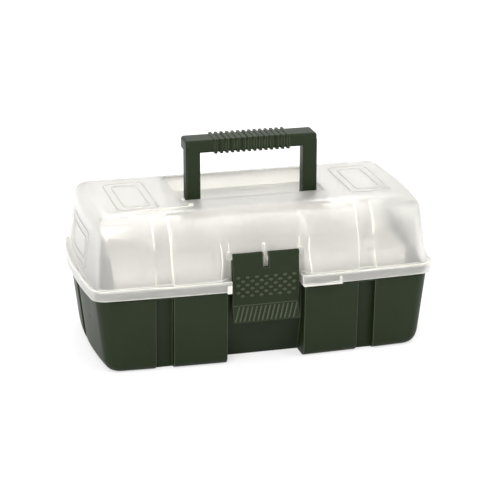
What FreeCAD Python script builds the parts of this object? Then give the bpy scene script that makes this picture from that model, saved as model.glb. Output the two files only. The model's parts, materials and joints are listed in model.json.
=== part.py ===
# Fishing tackle cabinet with a domed lid, a wide front latch and two lifting trays.
# Frame: X along the row axis (right in front view), front is -Y, Z up, origin on the
# ground under the middle of the rim. Millimetres.
import FreeCAD, Part
import math
import os
import re

import Sketcher

os.makedirs("parts", exist_ok=True)
doc = FreeCAD.newDocument("tackle_cabinet")

# Driving dimensions
SIZES = {
    # Lid skirt, the widest outline of the box
    "skirt_length": 340.0,
    "skirt_depth": 178.3,
    "skirt_bottom": 74.3,
    "skirt_height": 10.4,
    "skirt_wall": 2.4,
    "skirt_corner": 11.0,
    "end_bow": 6.5,
    "side_bow": 5.0,
    # Base tub
    "tub_rim_inset": 3.0,
    "tub_bottom_length": 316.0,
    "tub_bottom_depth": 164.0,
    "tub_height": 82.0,
    "tub_wall": 2.5,
    "tub_corner": 11.0,
    "tub_corner_low": 9.0,
    "tub_foot_round": 7.0,
    "tub_end_foot_tuck": 9.0,
    "tub_end_foot_height": 14.0,
    "tub_lip_step": 0.2,
    # Lid dome
    "lid_inset": 4.0,
    "lid_top": 148.6,
    "lid_top_length": 314.0,
    "lid_top_plan_depth": 150.0,
    "lid_top_end_bow": 4.0,
    "lid_top_flat": 114.0,
    "lid_wall": 2.4,
    "lid_corner": 10.0,
    "lid_corner_top": 9.0,
    "shoulder_radius": 87.0,
    "shoulder_edge_round": 13.0,
    "lid_end_round": 14.0,
    # Upright grooves in the front of tub and lid
    "groove_spacing": 195.2,
    "groove_width": 16.6,
    "tub_groove_depth": 9.0,
    "tub_groove_top_depth": 6.8,
    "tub_groove_top": 71.5,
    "lid_groove_floor_width": 15.0,
    "lid_groove_mouth_width": 17.2,
    "lid_groove_depth": 4.0,
    "lid_groove_top_depth": 1.0,
    "end_groove_width": 16.0,
    "end_groove_depth": 4.0,
    # Recess for the latch in tub and lid
    "latch_middle": -1.0,
    "tub_recess_width": 74.4,
    "tub_recess_depth": 25.0,
    "tub_recess_knee": 44.0,
    "tub_recess_knee_depth": 11.5,
    "tub_recess_top_depth": 14.1,
    "lid_recess_floor_width": 68.0,
    "lid_recess_mouth_width": 88.0,
    "lid_recess_depth": 9.9,
    "lid_recess_top_depth": 1.0,
    "mouth_overrun": 0.6,
    # Rear hinge
    "hinge_behind": 92.0,
    "hinge_height": 77.0,
    "hinge_pin_radius": 1.75,
    "hinge_knuckle_radius": 4.6,
    "hinge_spacing": 190.0,
    "hinge_knuckle_length": 16.0,
    "hinge_gap": 0.4,
    "hinge_play": 0.1,
    # Front latch
    "latch_width": 64.0,
    "latch_pivot_forward": 78.6,
    "latch_pivot_height": 105.8,
    "latch_barrel_radius": 2.6,
    "latch_trunnion_radius": 1.6,
    "latch_trunnion_length": 3.6,
    "latch_wall": 2.4,
    "latch_bottom": 42.5,
    "latch_notch_width": 5.7,
    "latch_notch_bottom": 93.5,
    "catch_bar_width": 58.0,
    "catch_bar_depth": 4.4,
    "catch_bar_bottom": 56.0,
    "catch_bar_height": 4.0,
    "catch_play": 0.4,
    "latch_waist": 1.4,
    "latch_belly_radius": 150.0,
    "latch_flare_height": 57.0,
    "latch_lip": 8.4,
    "latch_play": 0.4,
    "latch_ear": 4.0,
    "latch_ear_round": 3.2,
    "latch_hook_reach": 4.2,
    "latch_rib_depth": 1.4,
    "notch_rib": 1.8,
    "lip_reach": 4.0,
    "lip_wall": 1.6,
    "lip_hook": 6.4,
    "lip_end": 71.0,
    # Carrying handle
    "handle_width": 127.6,
    "handle_leg_width": 13.8,
    "handle_leg_depth": 13.4,
    "handle_bar_depth": 24.5,
    "handle_bar_height": 12.6,
    "handle_top": 204.5,
    "handle_pivot_forward": 21.0,
    "handle_pivot_height": 141.5,
    "handle_stub_radius": 4.0,
    "handle_stub_length": 7.0,
    "handle_round": 3.0,
    "handle_leg_round": 1.5,
    "handle_rib_pitch": 5.4,
    "handle_rib_width": 2.8,
    "handle_rib_rise": 0.9,
    # Handle recess in the lid top
    "pocket_width": 140.0,
    "pocket_front": 30.5,
    "pocket_rear": 50.0,
    "pocket_depth": 15.6,
    "pocket_boss_radius": 7.0,
    "pocket_boss_length": 6.4,
    # Trays
    "tray_length": 284.0,
    "tray_wall": 1.8,
    "tray_corner": 5.0,
    "lower_tray_front": 66.0,
    "lower_tray_rear": 57.0,
    "lower_tray_bottom": 42.0,
    "lower_tray_height": 25.0,
    "upper_tray_front": 68.0,
    "upper_tray_rear": 60.0,
    "upper_tray_bottom": 68.5,
    "upper_tray_height": 27.5,
    "divider_thickness": 1.6,
    "divider_slot_gap": 0.1,
    "divider_rib": 1.4,
    "divider_rib_out": 2.2,
    # Arms, links and pins of the tray lift
    "arm_thickness": 3.0,
    "arm_outer_face": 146.0,
    "side_play": 0.4,
    "front_boss_end": 159.9,
    "rear_boss_end": 159.3,
    "arm_margin": 6.0,
    "rear_arm_margin": 5.1,
    "arm_round": 5.0,
    "arm_pivot_height": 62.0,
    "front_arm_pivot": 4.0,
    "rear_arm_pivot": 64.0,
    "lower_pin_forward": 33.0,
    "lower_pin_drop": 8.2,
    "upper_pin_forward": 60.6,
    "upper_pin_rise": 12.9,
    "link_pin_forward": 48.0,
    "link_pin_rise": 36.0,
    "arm_pin_radius": 2.0,
    "arm_hole_gap": 0.08,
    "open_pivot_gap": 0.4,
    "pin_head_radius": 3.8,
    "pin_head": 0.7,
    "link_thickness": 2.4,
    "link_width": 10.0,
    "pivot_boss_radius": 6.0,
    "link_boss_end": 159.2,
    # One overrun for every cutter that goes past a face
    "past": 6.0,
}

# Facets of the rounded foot of the tub and of the rounded tops of the lid's ends
FOOT_STEPS = 4
FOOT_RISES = 2
END_STEPS = 6
# Grip ribs along the handle's bar
HANDLE_RIBS = 14
# How near two lengths in millimetres count as the same
SAME = 0.01
# How far a bowed side lies inside its middle at the grooves, the lip's end and the hinges
GROOVE_BOW = "(side_bow*(groove_spacing/(skirt_length - 2*end_bow))^2)"
LIP_BOW = "(side_bow*(2*lip_end/(skirt_length - 2*end_bow))^2)"
HINGE_BOW = "(side_bow*(hinge_spacing/(skirt_length - 2*end_bow))^2)"

sheet = doc.addObject("Spreadsheet::Sheet", "Sizes")
for row, (alias, value) in enumerate(SIZES.items(), start=1):
    sheet.set(f"A{row}", alias)
    sheet.set(f"B{row}", str(value))
    sheet.setAlias(f"B{row}", alias)
doc.recompute()


def formula(text):
    """Write the sheet's name in front of each size that the text uses."""
    return re.sub(r"[a-z][a-z_]+", lambda m: "Sizes." + m[0] if m[0] in SIZES else m[0], text)


def bind(item, prop, text):
    """Drive one property of an object from the sheet."""
    item.setExpression(prop, formula(text))


def size(text):
    """Work out a formula of sizes now."""
    return float(sheet.evalExpression(formula(text)))


def face_count(item):
    """Number of faces of an object's shape after a recompute."""
    doc.recompute()
    return len(item.Shape.Faces)


# Primitives and booleans
def box(name, spans):
    """A block between pairs of formulas for X, Y and Z."""
    item = doc.addObject("Part::Box", name)
    for side, axis, (low, high) in zip(("Length", "Width", "Height"), "xyz", spans):
        bind(item, side, f"({high}) - ({low})")
        bind(item, f"Placement.Base.{axis}", low)
    return item


def rod(name, axis, radius, start, length, place):
    """A cylinder along X or Z from start, centred on the two formulas in place."""
    item = doc.addObject("Part::Cylinder", name)
    turn = {"x": ((0, 1, 0), 90), "z": ((0, 0, 1), 0)}[axis]
    item.Placement = FreeCAD.Placement(
        FreeCAD.Vector(0, 0, 0), FreeCAD.Rotation(FreeCAD.Vector(*turn[0]), turn[1])
    )
    bind(item, "Radius", radius)
    bind(item, "Height", length)
    spots = {"x": (start, *place), "z": (*place, start)}[axis]
    for letter, spot in zip("xyz", spots):
        bind(item, f"Placement.Base.{letter}", spot)
    return item


def cut(name, base, *tools):
    """Base without the tools; each tool must take something away."""
    for number, tool in enumerate(tools, start=1):
        item = doc.addObject("Part::Cut", f"{name}Cut{number}")
        item.Base = base
        item.Tool = tool
        if face_count(item) == face_count(base):
            raise ValueError(f"{name}: {tool.Name} cuts nothing")
        base = item
    return base


def fuse(name, *items):
    """All items as one solid."""
    item = doc.addObject("Part::MultiFuse", name)
    item.Shapes = list(items)
    item.Refine = True
    return item


def common(name, *items):
    """The room that all items share."""
    item = doc.addObject("Part::MultiCommon", name)
    item.Shapes = list(items)
    return item


def mirrored(name, source):
    """The same piece on the other end of the box."""
    item = doc.addObject("Part::Mirroring", name)
    item.Source = source
    item.Normal = FreeCAD.Vector(1, 0, 0)
    return item


def group(name, *items):
    """Like pieces that share one node, as separate solids."""
    item = doc.addObject("Part::Compound", name)
    item.Links = list(items)
    return item


# Sketches
def new_sketch(body, name, plane, offset="0"):
    """A sketch on one of the body's own origin planes, moved along the plane's normal."""
    sketch = body.newObject("Sketcher::SketchObject", name)
    for feature in body.Origin.OriginFeatures:
        if feature.Role == plane:
            sketch.AttachmentSupport = [(feature, "")]
    sketch.MapMode = "FlatFace"
    bind(sketch, "AttachmentOffset.Base.z", offset)
    return sketch


def pin_point(sketch, geometry, end, across, up):
    """Fix one point of a sketch at two formulas, measured from the sketch's origin."""
    for kind, text, axis in (("DistanceX", across, -2), ("DistanceY", up, -1)):
        value = size(text)
        if value == 0:
            sketch.addConstraint(Sketcher.Constraint("PointOnObject", geometry, end, axis))
            continue
        ends = (-1, 1, geometry, end) if value > 0 else (geometry, end, -1, 1)
        sign = "" if value > 0 else "-"
        number = sketch.addConstraint(Sketcher.Constraint(kind, *ends, abs(value)))
        bind(sketch, f"Constraints[{number}]", f"{sign}({text})")


def outline(sketch, points):
    """A closed outline. A point is (across, up) or (across, up, radius): the edge that
    leaves it is then an arc of that radius, bulging to the right of its way on."""
    count = len(points)
    spots = [FreeCAD.Vector(size(p[0]), size(p[1]), 0) for p in points]
    for index, point in enumerate(points):
        start = spots[index]
        stop = spots[(index + 1) % count]
        if len(point) == 2:
            sketch.addGeometry(Part.LineSegment(start, stop), False)
            continue
        radius = size(point[2])
        chord = stop - start
        half = chord.Length / 2
        rise = radius - math.sqrt(radius * radius - half * half)
        side = FreeCAD.Vector(chord.y, -chord.x, 0).normalize()
        top = (start + stop) / 2 + side * rise
        sketch.addGeometry(Part.Arc(start, top, stop), False)
    for index, point in enumerate(points):
        following = (index + 1) % count
        arc = len(point) == 3
        sketch.addConstraint(Sketcher.Constraint("Coincident", index, 2, following, 1))
        if arc:
            number = sketch.addConstraint(Sketcher.Constraint("Radius", index, size(point[2])))
            bind(sketch, f"Constraints[{number}]", point[2])
    for index, point in enumerate(points):
        pin_point(sketch, index, 1, point[0], point[1])


def padded(name, plane, points, start, length):
    """A body with one outline padded along the plane's normal from start."""
    body = doc.addObject("PartDesign::Body", name)
    sketch = new_sketch(body, name + "Outline", plane, start)
    outline(sketch, points)
    pad = body.newObject("PartDesign::Pad", name + "Pad")
    pad.Profile = sketch
    bind(pad, "Length", length)
    doc.recompute()
    return body


def lofted(name, plane, sections):
    """A body through several outlines, each given as (offset, points)."""
    body = doc.addObject("PartDesign::Body", name)
    sketches = []
    for number, (offset, points) in enumerate(sections, start=1):
        sketch = new_sketch(body, f"{name}Section{number}", plane, offset)
        outline(sketch, points)
        sketches.append(sketch)
    loft = body.newObject("PartDesign::AdditiveLoft", name + "Loft")
    loft.Profile = sketches[0]
    loft.Sections = sketches[1:]
    loft.Ruled = True
    doc.recompute()
    return body


def rounded(body, name, radius, wanted):
    """Round the edges of a body that the test picks."""
    edges = [f"Edge{n}" for n, e in enumerate(body.Shape.Edges, start=1) if wanted(e)]
    if not edges:
        raise ValueError(f"{name}: no edge to round")
    base = body.Tip
    fillet = body.newObject("PartDesign::Fillet", name)
    fillet.Base = (base, edges)
    bind(fillet, "Radius", radius)
    doc.recompute()
    return body


def upright(edge):
    """True for an edge that mostly climbs."""
    ends = edge.Vertexes
    way = ends[-1].Point - ends[0].Point
    return abs(way.z) > abs(way.x) + abs(way.y)


def along_x(edge):
    """True for a straight edge parallel to X."""
    ends = edge.Vertexes
    way = ends[-1].Point - ends[0].Point
    return abs(way.y) + abs(way.z) < SAME


def bowed(length, depth, end_bow, side_bow, corner):
    """Plan outline with four bowed sides and round corners. The corner's reach is how far
    its arc runs along each side."""
    half_length = f"(({length})/2 - ({end_bow}))"
    half_depth = f"(({depth})/2 - ({side_bow}))"
    side = f"(({half_length}^2 + ({side_bow})^2)/(2*({side_bow})))"
    end = f"(({half_depth}^2 + ({end_bow})^2)/(2*({end_bow})))"
    turn = f"(90 deg - asin({half_length}/{side}) - asin({half_depth}/{end}))"
    round_off = f"(({corner})/tan({turn}/2))"
    near_x = f"({half_length} - ({corner}))"
    near_y = f"(({depth})/2 - {side} + sqrt({side}^2 - {near_x}^2))"
    far_y = f"({half_depth} - ({corner}))"
    far_x = f"(({length})/2 - {end} + sqrt({end}^2 - {far_y}^2))"
    return [
        (f"-{near_x}", f"-{near_y}", side),
        (near_x, f"-{near_y}", round_off),
        (far_x, f"-{far_y}", end),
        (far_x, far_y, round_off),
        (near_x, near_y, side),
        (f"-{near_x}", near_y, round_off),
        (f"-{far_x}", far_y, end),
        (f"-{far_x}", f"-{far_y}", round_off),
    ]


# Base tub
def tub_solid(name, inset, bottom, top):
    """Tapered tub block inside the outer faces by inset. Its foot is rounded in steps: a
    quarter circle along the front and rear, and a taller quarter ellipse at the ends."""
    rise = f"(tub_end_foot_height - ({inset}))"
    radius = f"(tub_foot_round - ({inset}))"
    heights = [f"{radius}*(1 - cos(90 deg * {step}/{FOOT_STEPS}))" for step in range(FOOT_STEPS + 1)]
    tucks = [f"{radius}*(1 - sin(90 deg * {step}/{FOOT_STEPS}))" for step in range(FOOT_STEPS + 1)]
    for step in range(1, FOOT_RISES + 1):
        heights.append(f"({radius} + ({rise} - {radius})*{step}/{FOOT_RISES})")
        tucks.append("0")
    sections = []
    for height, tuck in zip(heights, tucks):
        end_tuck = f"(tub_end_foot_tuck - ({inset}))*(1 - sqrt(1 - (1 - {height}/{rise})^2))"
        level = f"({bottom}) + {height}"
        share = f"(({level})/tub_height)"
        length = f"tub_bottom_length + (skirt_length - 2*tub_rim_inset - tub_bottom_length)*{share}"
        depth = f"tub_bottom_depth + (skirt_depth - 2*tub_rim_inset - tub_bottom_depth)*{share}"
        plan = bowed(
            f"{length} - 2*({inset}) - 2*{end_tuck}",
            f"{depth} - 2*({inset}) - 2*{tuck}",
            "end_bow",
            "side_bow",
            f"tub_corner_low - ({inset})/2 - {tuck}/2",
        )
        sections.append((level, plan))
    rim_length = f"skirt_length - 2*tub_rim_inset - 2*({inset})"
    rim_depth = f"skirt_depth - 2*tub_rim_inset - 2*({inset})"
    rim = bowed(rim_length, rim_depth, "end_bow", "side_bow", f"tub_corner - ({inset})/2")
    return lofted(name, "XY_Plane", sections + [(top, rim)])


def tub_groove(name, centre, grow):
    """One upright groove of the tub's front, or with grow the rib that it makes inside."""
    floor_low = f"tub_groove_depth - tub_bottom_depth/2 + {GROOVE_BOW} + ({grow})"
    floor_high = f"tub_groove_top_depth - skirt_depth/2 + tub_rim_inset + {GROOVE_BOW} + ({grow})"
    points = [
        ("-skirt_depth", "-past"),
        (floor_low, "-past"),
        (floor_high, f"tub_groove_top + ({grow})"),
        ("-skirt_depth", f"tub_groove_top + ({grow})"),
    ]
    start = f"{centre} - groove_width/2 - ({grow})"
    return padded(name, "YZ_Plane", points, start, f"groove_width + 2*({grow})")


def tub_recess(name, grow):
    """Finger hollow under the latch, open at the rim, or with grow the wall round it."""
    seat = f"tub_recess_top_depth - skirt_depth/2 + tub_rim_inset + ({grow})"
    points = [
        ("-skirt_depth", "-past"),
        (f"tub_recess_depth - tub_bottom_depth/2 + ({grow})", "-past"),
        (f"tub_recess_knee_depth - tub_bottom_depth/2 + ({grow})", "tub_recess_knee - past"),
        (seat, "tub_recess_knee + past/2"),
        (seat, "tub_height + past"),
        ("-skirt_depth", "tub_height + past"),
    ]
    start = f"latch_middle - tub_recess_width/2 - ({grow})"
    return padded(name, "YZ_Plane", points, start, f"tub_recess_width + 2*({grow})")


def end_groove(name, side, grow):
    """Shallow upright groove in the middle of an end wall."""
    sign = "" if side > 0 else "-"
    low = f"tub_bottom_length/2 - end_groove_depth - ({grow})"
    high = f"skirt_length/2 - tub_rim_inset - end_groove_depth - ({grow})"
    points = [
        (f"{sign}({low})", "-past"),
        (f"{sign}(skirt_length)", "-past"),
        (f"{sign}(skirt_length)", f"tub_groove_top + ({grow})"),
        (f"{sign}({high})", f"tub_groove_top + ({grow})"),
    ]
    if side < 0:
        points.reverse()
    start = f"-end_groove_width/2 - ({grow})"
    return padded(name, "XZ_Plane", points, start, f"end_groove_width + 2*({grow})")


def knuckle(name, start, length):
    """One hinge barrel round the hinge line."""
    return rod(name, "x", "hinge_knuckle_radius", start, length, ("hinge_behind", "hinge_height"))


def hinge_bore(name, start, length):
    """Bore along the hinge line for the pins."""
    place = ("hinge_behind", "hinge_height")
    return rod(name, "x", "hinge_pin_radius + hinge_play", start, length, place)


def outer_knuckles():
    """Name and start of each of the tub's hinge barrels, two to a hinge."""
    rows = []
    for side, sign in (("Left", "-"), ("Right", "")):
        centre = f"{sign}hinge_spacing/2"
        rows.append((f"{side}A", f"{centre} - 1.5*hinge_knuckle_length - hinge_gap"))
        rows.append((f"{side}B", f"{centre} + 0.5*hinge_knuckle_length + hinge_gap"))
    return rows


def base_tub():
    outer = tub_solid("TubOuter", "0", "0", "tub_height")
    inner = tub_solid("TubInner", "tub_wall", "tub_wall", "tub_height + tub_lip_step")
    grooves = []
    ribs = []
    for side, centre in (("Left", "-groove_spacing/2"), ("Right", "groove_spacing/2")):
        grooves.append(tub_groove(f"TubGroove{side}", centre, "0"))
        ribs.append(tub_groove(f"TubRib{side}", centre, "tub_wall"))
    grooves.append(tub_recess("TubRecess", "0"))
    ribs.append(tub_recess("TubRecessWall", "tub_wall"))
    for side, sign in (("Left", -1), ("Right", 1)):
        grooves.append(end_groove(f"TubEndGroove{side}", sign, "0"))
        ribs.append(end_groove(f"TubEndRib{side}", sign, "tub_wall"))
    shell = cut("TubShell", outer, *grooves)
    cavity = cut("TubCavity", inner, *ribs)
    hollow = cut("TubHollow", shell, cavity)
    added = [hollow]
    # Catch bar for the latch, across the recess
    recess_face = "tub_recess_top_depth - skirt_depth/2 + tub_rim_inset"
    added.append(
        box(
            "CatchBar",
            [
                ("latch_middle - catch_bar_width/2", "latch_middle + catch_bar_width/2"),
                (f"{recess_face} - catch_bar_depth", f"{recess_face} + tub_wall/2"),
                ("catch_bar_bottom", "catch_bar_bottom + catch_bar_height"),
            ],
        )
    )
    # Pivot bosses for the arms
    for side in ("Left", "Right"):
        for arm, place, stop in (
            ("Front", "-front_arm_pivot", "front_boss_end"),
            ("Rear", "rear_arm_pivot", "rear_boss_end"),
        ):
            start = "arm_outer_face + side_play"
            if side == "Left":
                start = f"-{stop}"
            added.append(
                rod(
                    f"TubBoss{side}{arm}",
                    "x",
                    "pivot_boss_radius",
                    start,
                    f"{stop} - arm_outer_face - side_play",
                    (place, "arm_pivot_height"),
                )
            )
    # Outer hinge knuckles, each with a web down to the rear wall
    for label, start in outer_knuckles():
        added.append(knuckle(f"TubKnuckle{label}", start, "hinge_knuckle_length"))
        added.append(
            box(
                f"TubWeb{label}",
                [
                    (start, f"{start} + hinge_knuckle_length"),
                    (
                        "skirt_depth/2 - tub_rim_inset - side_bow",
                        "hinge_behind + 0.6*hinge_knuckle_radius",
                    ),
                    (
                        "hinge_height - 4*hinge_knuckle_radius",
                        "hinge_height - hinge_knuckle_radius/2",
                    ),
                ],
            )
        )
    bores = []
    for side, sign in (("Left", "-"), ("Right", "")):
        bores.append(
            hinge_bore(
                f"TubBore{side}",
                f"{sign}hinge_spacing/2 - 1.5*hinge_knuckle_length - past",
                "3*hinge_knuckle_length + 2*past",
            )
        )
    solid = fuse("TubFused", *added)
    return cut("TubBored", solid, *bores)


# Lid
def dome(name, inset, low):
    """Front to rear section of the lid, with both shoulders, padded past the ends."""
    foot = f"(skirt_depth/2 - lid_inset - ({inset}))"
    flat = f"(lid_top_flat/2 - 0.35*({inset}))"
    top = f"lid_top - ({inset})"
    curve = f"(shoulder_radius - ({inset}))"
    points = [
        (f"-{foot}", low),
        (foot, low),
        (foot, "skirt_bottom + skirt_height", curve),
        (flat, top),
        (f"-{flat}", top, curve),
        (f"-{foot}", "skirt_bottom + skirt_height"),
    ]
    body = padded(name, "YZ_Plane", points, "-skirt_length/2 - past", "skirt_length + 2*past")
    ridge = size(top)
    return rounded(
        body,
        name + "Ridge",
        f"shoulder_edge_round - ({inset})",
        lambda e: all(abs(v.Z - ridge) < SAME for v in e.Vertexes) and along_x(e),
    )


def lid_plan(name, inset, low):
    """Room inside the four bowed, leaning sides of the lid, with its end tops rounded in
    steps."""
    rim = bowed(
        f"skirt_length - 2*lid_inset - 2*({inset})",
        f"skirt_depth - lid_inset - 2*({inset})",
        "end_bow",
        "side_bow",
        f"lid_corner - ({inset})/2",
    )
    sections = [(low, rim)]
    radius = f"(lid_end_round - ({inset}))"
    lean = "(skirt_length - 2*lid_inset - lid_top_length)/(lid_top - skirt_bottom - skirt_height)"
    for step in range(END_STEPS + 1):
        angle = f"(90 deg * {step}/{END_STEPS})"
        below = f"(({inset}) + {radius}*(1 - sin({angle})))"
        crown = bowed(
            f"lid_top_length + {lean}*{below} - 2*({inset}) - 2*{radius}*(1 - cos({angle}))",
            "lid_top_plan_depth",
            "lid_top_end_bow",
            "side_bow",
            f"lid_corner_top - ({inset})/2",
        )
        sections.append((f"lid_top - {below}", crown))
    return lofted(name, "XY_Plane", sections)


def skirt(name, inset, low, high):
    """Straight band of the lid's skirt."""
    plan = bowed(
        f"skirt_length - 2*({inset})",
        f"skirt_depth - 2*({inset})",
        "end_bow",
        "side_bow",
        f"skirt_corner - ({inset})/2",
    )
    return padded(name, "XY_Plane", plan, low, f"({high}) - ({low})")


def shoulder_groove(name, centre, floor_width, mouth_width, depth, top_depth, low, grow):
    """Groove that follows the front shoulder, with slanted sides from floor to mouth."""

    seat = "skirt_bottom + skirt_height"

    def section(sink, top_sink, clear):
        foot = f"({sink}) - skirt_depth/2 + lid_inset + ({clear})"
        crest = f"({top_sink}) - lid_top_flat/2 + ({clear})"
        points = [(crest, "lid_top + mouth_overrun", "shoulder_radius"), (foot, seat)]
        if low != seat:
            points.append((foot, low))
        points += [
            ("-skirt_depth", low),
            ("-skirt_depth", "lid_top + past"),
            (crest, "lid_top + past"),
        ]
        return points

    mouth = section("0", "0", f"({grow}) - mouth_overrun")
    floor = section(depth, top_depth, grow)
    spots = [
        (f"{centre} - ({mouth_width})/2 - ({grow})", mouth),
        (f"{centre} - ({floor_width})/2 - ({grow})", floor),
        (f"{centre} + ({floor_width})/2 + ({grow})", floor),
        (f"{centre} + ({mouth_width})/2 + ({grow})", mouth),
    ]
    return lofted(name, "YZ_Plane", spots)


def lid_shell():
    seat = "skirt_bottom + skirt_height"
    ledge = "skirt_bottom + skirt_height - lid_wall"
    outer = common("LidOuter", lid_plan("LidPlan", "0", ledge), dome("LidDome", "0", ledge))
    inner = common(
        "LidInner",
        lid_plan("LidPlanInner", "lid_wall", f"{ledge} - past"),
        dome("LidDomeInner", "lid_wall", f"{ledge} - past"),
    )
    band = skirt("LidSkirt", "0", "skirt_bottom", seat)
    band_room = skirt("LidSkirtRoom", "skirt_wall", "skirt_bottom - past", ledge)
    grooves = []
    ribs = []
    for side, centre in (("Left", "-groove_spacing/2"), ("Right", "groove_spacing/2")):
        for kind, grow, rows in (("LidGroove", "0", grooves), ("LidRib", "lid_wall", ribs)):
            rows.append(
                shoulder_groove(
                    f"{kind}{side}",
                    centre,
                    "lid_groove_floor_width",
                    "lid_groove_mouth_width",
                    "lid_groove_depth",
                    "lid_groove_top_depth",
                    seat if grow == "0" else ledge,
                    grow,
                )
            )
    for kind, grow, rows in (("LidRecess", "0", grooves), ("LidRecessWall", "lid_wall", ribs)):
        rows.append(
            shoulder_groove(
                kind,
                "latch_middle",
                "lid_recess_floor_width",
                "lid_recess_mouth_width",
                "lid_recess_depth",
                "lid_recess_top_depth",
                seat if grow == "0" else ledge,
                grow,
            )
        )
    recess_floor = "-skirt_depth/2 + lid_inset + lid_recess_depth"
    for kind, grow, rows in (("SkirtGap", "0", grooves), ("SkirtGapWall", "lid_wall", ribs)):
        reach = f"lid_recess_floor_width/2 + ({grow})"
        rows.append(
            box(
                kind,
                [
                    (f"latch_middle - ({reach})", f"latch_middle + {reach}"),
                    ("-skirt_depth", f"{recess_floor} + ({grow})"),
                    ("skirt_bottom - past", seat),
                ],
            )
        )
    solid = fuse("LidBlock", outer, band)
    carved = cut("LidCarved", solid, *grooves)
    pocket_spans = [
        ("-pocket_width/2", "pocket_width/2"),
        ("-pocket_front", "pocket_rear"),
        ("lid_top - pocket_depth", "lid_top + past"),
    ]
    pocket = box("LidPocket", pocket_spans)
    grown = [
        (f"{low} - lid_wall", f"{high} + lid_wall") for low, high in pocket_spans[:2]
    ] + [("lid_top - pocket_depth - lid_wall", "lid_top + past")]
    cavity = cut("LidCavity", inner, *ribs, box("LidPocketWall", grown))
    shell = cut("LidShell", carved, pocket, cavity)
    skirt_room = cut("LidSkirtCavity", band_room, ribs[-1])
    # Notches in the skirt for the tub's knuckles
    notches = []
    for label, start in outer_knuckles():
        notches.append(
            box(
                f"SkirtNotch{label}",
                [
                    (f"{start} - hinge_gap", f"{start} + hinge_knuckle_length + hinge_gap"),
                    ("skirt_depth/2 - side_bow - skirt_wall", "hinge_behind"),
                    ("skirt_bottom - past", "hinge_height + hinge_knuckle_radius + hinge_gap"),
                ],
            )
        )
    shell = cut("LidHollow", shell, skirt_room, *notches)
    added = [shell]
    # Ears that hold the latch's trunnions
    for side, start in (
        ("Left", "latch_middle - latch_width/2 - latch_play - latch_ear"),
        ("Right", "latch_middle + latch_width/2 + latch_play"),
    ):
        added.append(
            box(
                f"LatchEar{side}",
                [
                    (start, f"{start} + latch_ear"),
                    ("-latch_pivot_forward", f"{recess_floor} + lid_wall/2"),
                    ("latch_pivot_height - latch_ear_round", "latch_pivot_height + latch_ear_round"),
                ],
            )
        )
        added.append(
            rod(
                f"LatchEarEye{side}",
                "x",
                "latch_ear_round",
                start,
                "latch_ear",
                ("-latch_pivot_forward", "latch_pivot_height"),
            )
        )
    # Rib over the latch's notch
    added.append(
        box(
            "LidNotchRib",
            [
                ("latch_middle - notch_rib/2", "latch_middle + notch_rib/2"),
                (f"{recess_floor} - notch_rib", f"{recess_floor} + lid_wall"),
                ("latch_notch_bottom + notch_rib", "latch_pivot_height + 5*notch_rib"),
            ],
        )
    )
    # Lip under the skirt on the right of the latch, with a turned-up end
    lip_front = f"-skirt_depth/2 + {LIP_BOW} - lip_reach"
    lip_back = f"-skirt_depth/2 + skirt_wall/2 + {LIP_BOW}"
    added.append(
        box(
            "LidLip",
            [
                ("latch_middle + lid_recess_floor_width/2", "lip_end"),
                (lip_front, lip_back),
                ("skirt_bottom", "skirt_bottom + lip_wall"),
            ],
        )
    )
    added.append(
        box(
            "LidLipEnd",
            [
                ("lip_end - lip_wall", "lip_end"),
                (lip_front, lip_back),
                ("skirt_bottom", "skirt_bottom + lip_hook"),
            ],
        )
    )
    # Bosses for the handle's stubs, on the side walls of its pocket
    for side, start in (
        ("Left", "-pocket_width/2 - lid_wall/2"),
        ("Right", "pocket_width/2 + lid_wall/2 - pocket_boss_length"),
    ):
        added.append(
            rod(
                f"HandleBoss{side}",
                "x",
                "pocket_boss_radius",
                start,
                "pocket_boss_length",
                ("-handle_pivot_forward", "handle_pivot_height"),
            )
        )
    # Bosses for the links, on the insides of the end walls
    link_face = "arm_outer_face + 2*side_play + link_thickness + side_play"
    for side, sign in (("Left", "-"), ("Right", "")):
        start = link_face if sign == "" else "-link_boss_end"
        added.append(
            rod(
                f"LidLinkBoss{side}",
                "x",
                "pivot_boss_radius",
                start,
                f"link_boss_end - ({link_face})",
                ("hinge_behind - link_pin_forward", "hinge_height + link_pin_rise"),
            )
        )
    # Middle hinge knuckles
    bores = []
    for side, sign in (("Left", "-"), ("Right", "")):
        centre = f"{sign}hinge_spacing/2"
        start = f"{centre} - hinge_knuckle_length/2"
        added.append(knuckle(f"LidKnuckle{side}", start, "hinge_knuckle_length"))
        added.append(
            box(
                f"LidWeb{side}",
                [
                    (start, f"{start} + hinge_knuckle_length"),
                    (
                        f"skirt_depth/2 - skirt_wall/2 - {HINGE_BOW}",
                        "hinge_behind + hinge_knuckle_radius/2",
                    ),
                    (
                        "hinge_height + 0.3*hinge_knuckle_radius",
                        "hinge_height + 1.6*hinge_knuckle_radius",
                    ),
                ],
            )
        )
        reach = "hinge_knuckle_length + 2*past"
        bores.append(hinge_bore(f"LidBore{side}", f"{start} - past", reach))
    for side, start in (
        ("Left", "latch_middle - latch_width/2 - latch_play - latch_trunnion_length"),
        ("Right", "latch_middle + latch_width/2 - past"),
    ):
        bores.append(
            rod(
                f"LatchEarBore{side}",
                "x",
                "latch_trunnion_radius + arm_hole_gap",
                start,
                "latch_trunnion_length + latch_play + past",
                ("-latch_pivot_forward", "latch_pivot_height"),
            )
        )
    for side, start in (
        ("Left", "-pocket_width/2 - lid_wall - past"),
        ("Right", "pocket_width/2 - pocket_boss_length - past"),
    ):
        bores.append(
            rod(
                f"HandleBossBore{side}",
                "x",
                "handle_stub_radius + arm_hole_gap",
                start,
                "lid_wall + pocket_boss_length + 2*past",
                ("-handle_pivot_forward", "handle_pivot_height"),
            )
        )
    whole = fuse("LidFused", *added)
    return cut("LidBored", whole, *bores)


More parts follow.
